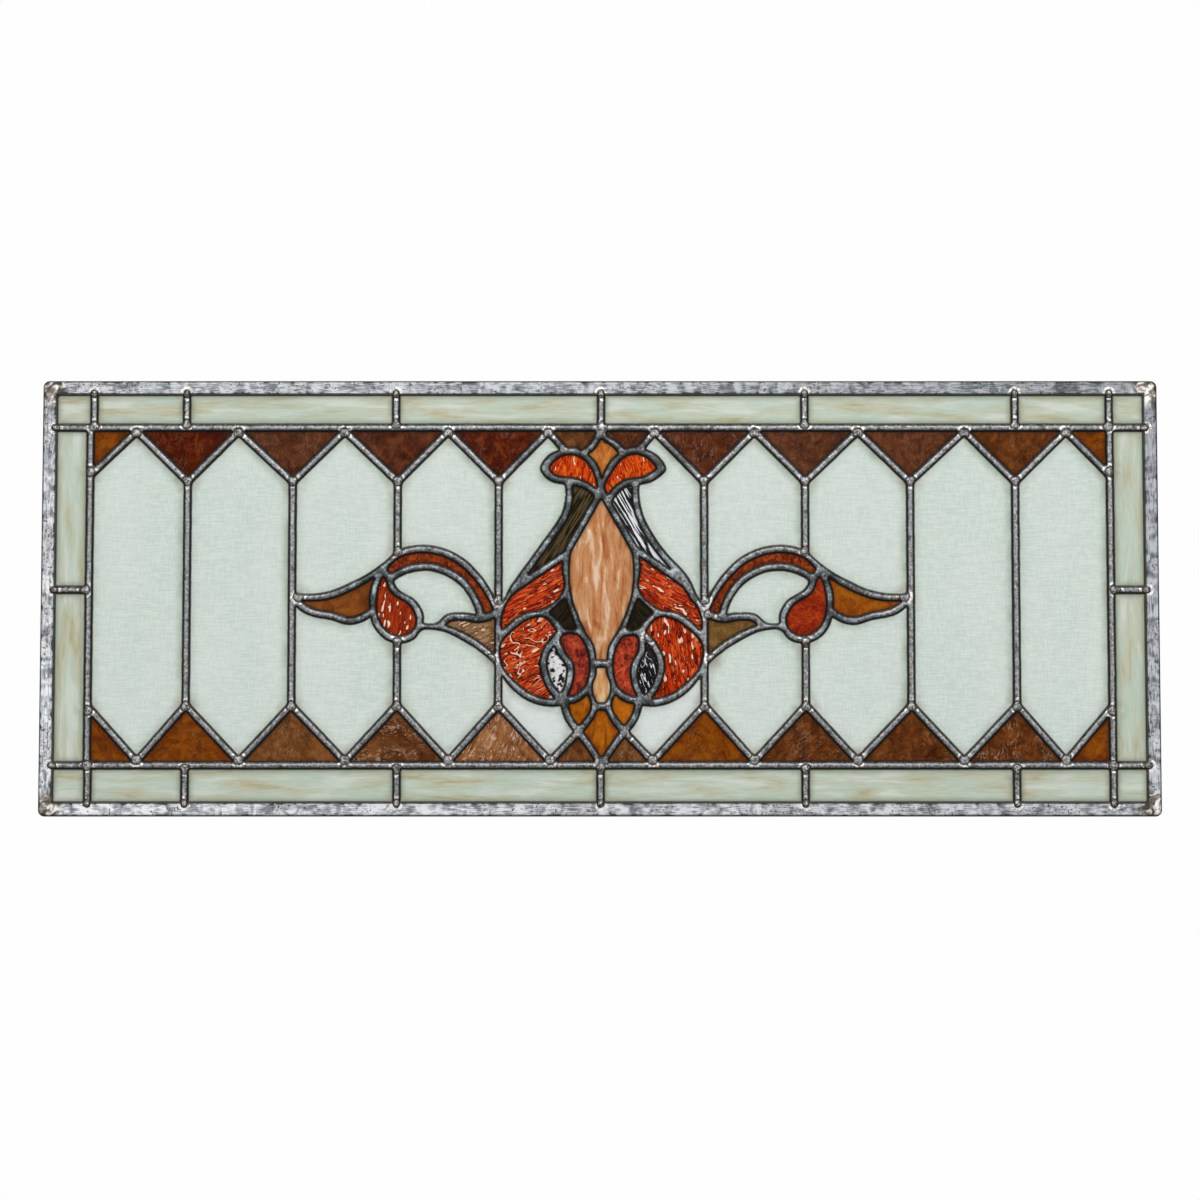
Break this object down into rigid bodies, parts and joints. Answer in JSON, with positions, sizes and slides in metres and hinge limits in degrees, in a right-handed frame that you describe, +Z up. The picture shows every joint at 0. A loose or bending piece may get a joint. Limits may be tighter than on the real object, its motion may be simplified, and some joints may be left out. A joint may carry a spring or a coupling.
{
  "type": "leaded stained glass window panel",
  "caption": "Leaded stained glass transom panel with a zinc edge, made to be set in a window frame.",
  "frame": {"origin": "on the underside of the zinc edge, at the middle of its length and of its depth", "axes": "+Z up, +X to the right seen from the front, the front faces -Y"},
  "size_m": [1.041, 0.007, 0.4064],
  "materials": {
    "zinc": "aged zinc came, dull silver-grey with pits and brown solder stains",
    "lead": "grey oxidised lead came with tinned solder at the joints",
    "pale_glass": "pale green-grey cathedral glass, faintly textured",
    "wispy_glass": "opalescent glass, cream and pale green with tan streaks",
    "scarlet_glass": "rippled orange-red glass",
    "ruby_glass": "smooth deep red glass",
    "amber_glass": "mottled amber glass",
    "tan_glass": "brown glass with paler ripples",
    "peach_glass": "opalescent peach glass with upright streaks",
    "black_glass": "rippled olive-black glass"
  },
  "bodies": {
    "root": {"almond": "peach_glass", "arc_left": "ruby_glass", "arc_right": "ruby_glass", "base_diamond": "amber_glass", "border_bottom_1": "wispy_glass", "border_bottom_2": "wispy_glass", "border_bottom_3": "wispy_glass", "border_bottom_4": "wispy_glass", "border_bottom_5": "wispy_glass", "border_bottom_6": "wispy_glass", "border_top_1": "wispy_glass", "border_top_2": "wispy_glass", "border_top_3": "wispy_glass", "border_top_4": "wispy_glass", "border_top_5": "wispy_glass", "border_top_6": "wispy_glass", "drop_left": "scarlet_glass", "drop_right": "scarlet_glass", "eye_left": "black_glass", "eye_right": "black_glass", "head_left": "scarlet_glass", "head_right": "scarlet_glass", "kidney_left": "ruby_glass", "kidney_right": "ruby_glass", "kite": "amber_glass", "lead_lattice": "lead", "leaf_left": "amber_glass", "leaf_right": "amber_glass", "pale_1": "pale_glass", "pale_10": "pale_glass", "pale_2": "pale_glass", "pale_3_lower": "pale_glass", "pale_3_upper": "pale_glass", "pale_4_inner": "pale_glass", "pale_4_lower": "pale_glass", "pale_4_upper": "pale_glass", "pale_5_lower": "pale_glass", "pale_5_upper": "pale_glass", "pale_6_lower": "pale_glass", "pale_6_upper": "pale_glass", "pale_7_inner": "pale_glass", "pale_7_lower": "pale_glass", "pale_7_upper": "pale_glass", "pale_8_lower": "pale_glass", "pale_8_upper": "pale_glass", "pale_9": "pale_glass", "round_petal_left": "scarlet_glass", "round_petal_right": "scarlet_glass", "small_amber_left": "amber_glass", "small_amber_right": "amber_glass", "small_leaf_left": "tan_glass", "small_leaf_right": "tan_glass", "stem_left": "black_glass", "stem_right": "black_glass", "tail": "peach_glass", "upper_petal_left": "scarlet_glass", "upper_petal_right": "scarlet_glass", "wedge_left": "black_glass", "wedge_right": "black_glass", "zinc_edge": "zinc"}
  },
  "joints": []
}
